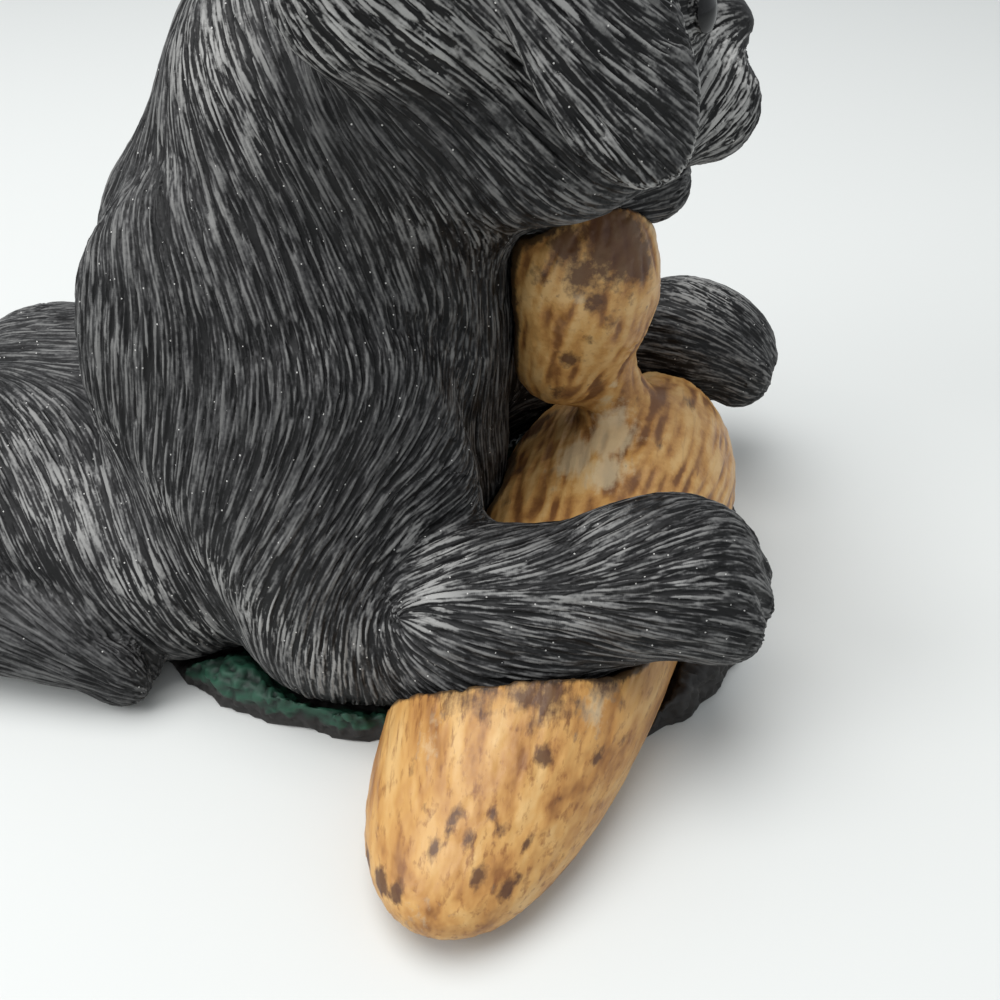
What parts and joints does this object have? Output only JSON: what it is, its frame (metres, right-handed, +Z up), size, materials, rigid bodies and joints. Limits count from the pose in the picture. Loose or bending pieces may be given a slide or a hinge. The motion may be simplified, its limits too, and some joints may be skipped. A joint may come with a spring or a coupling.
{
  "type": "puppy figurine with duck decoy",
  "caption": "Lying Labrador-type puppy with carved fur, its forelegs and chin over a wood-look duck decoy, on a low patch of mossy ground.",
  "frame": {"origin": "on the table, under the mossy ground, at the middle of the puppy's chest", "axes": "+X the way the puppy faces, +Y its left side, +Z up"},
  "size_m": [0.1908, 0.1472, 0.13],
  "materials": {
    "puppy": "cast resin, black with ridges of fur dry-brushed grey",
    "duck_decoy": "cast resin painted as worn ochre wood, satin",
    "mossy_ground": "cast resin painted dark moss green, matt"
  },
  "bodies": {
    "root": {"puppy": "puppy", "duck_decoy": "duck_decoy", "mossy_ground": "mossy_ground"}
  },
  "joints": []
}
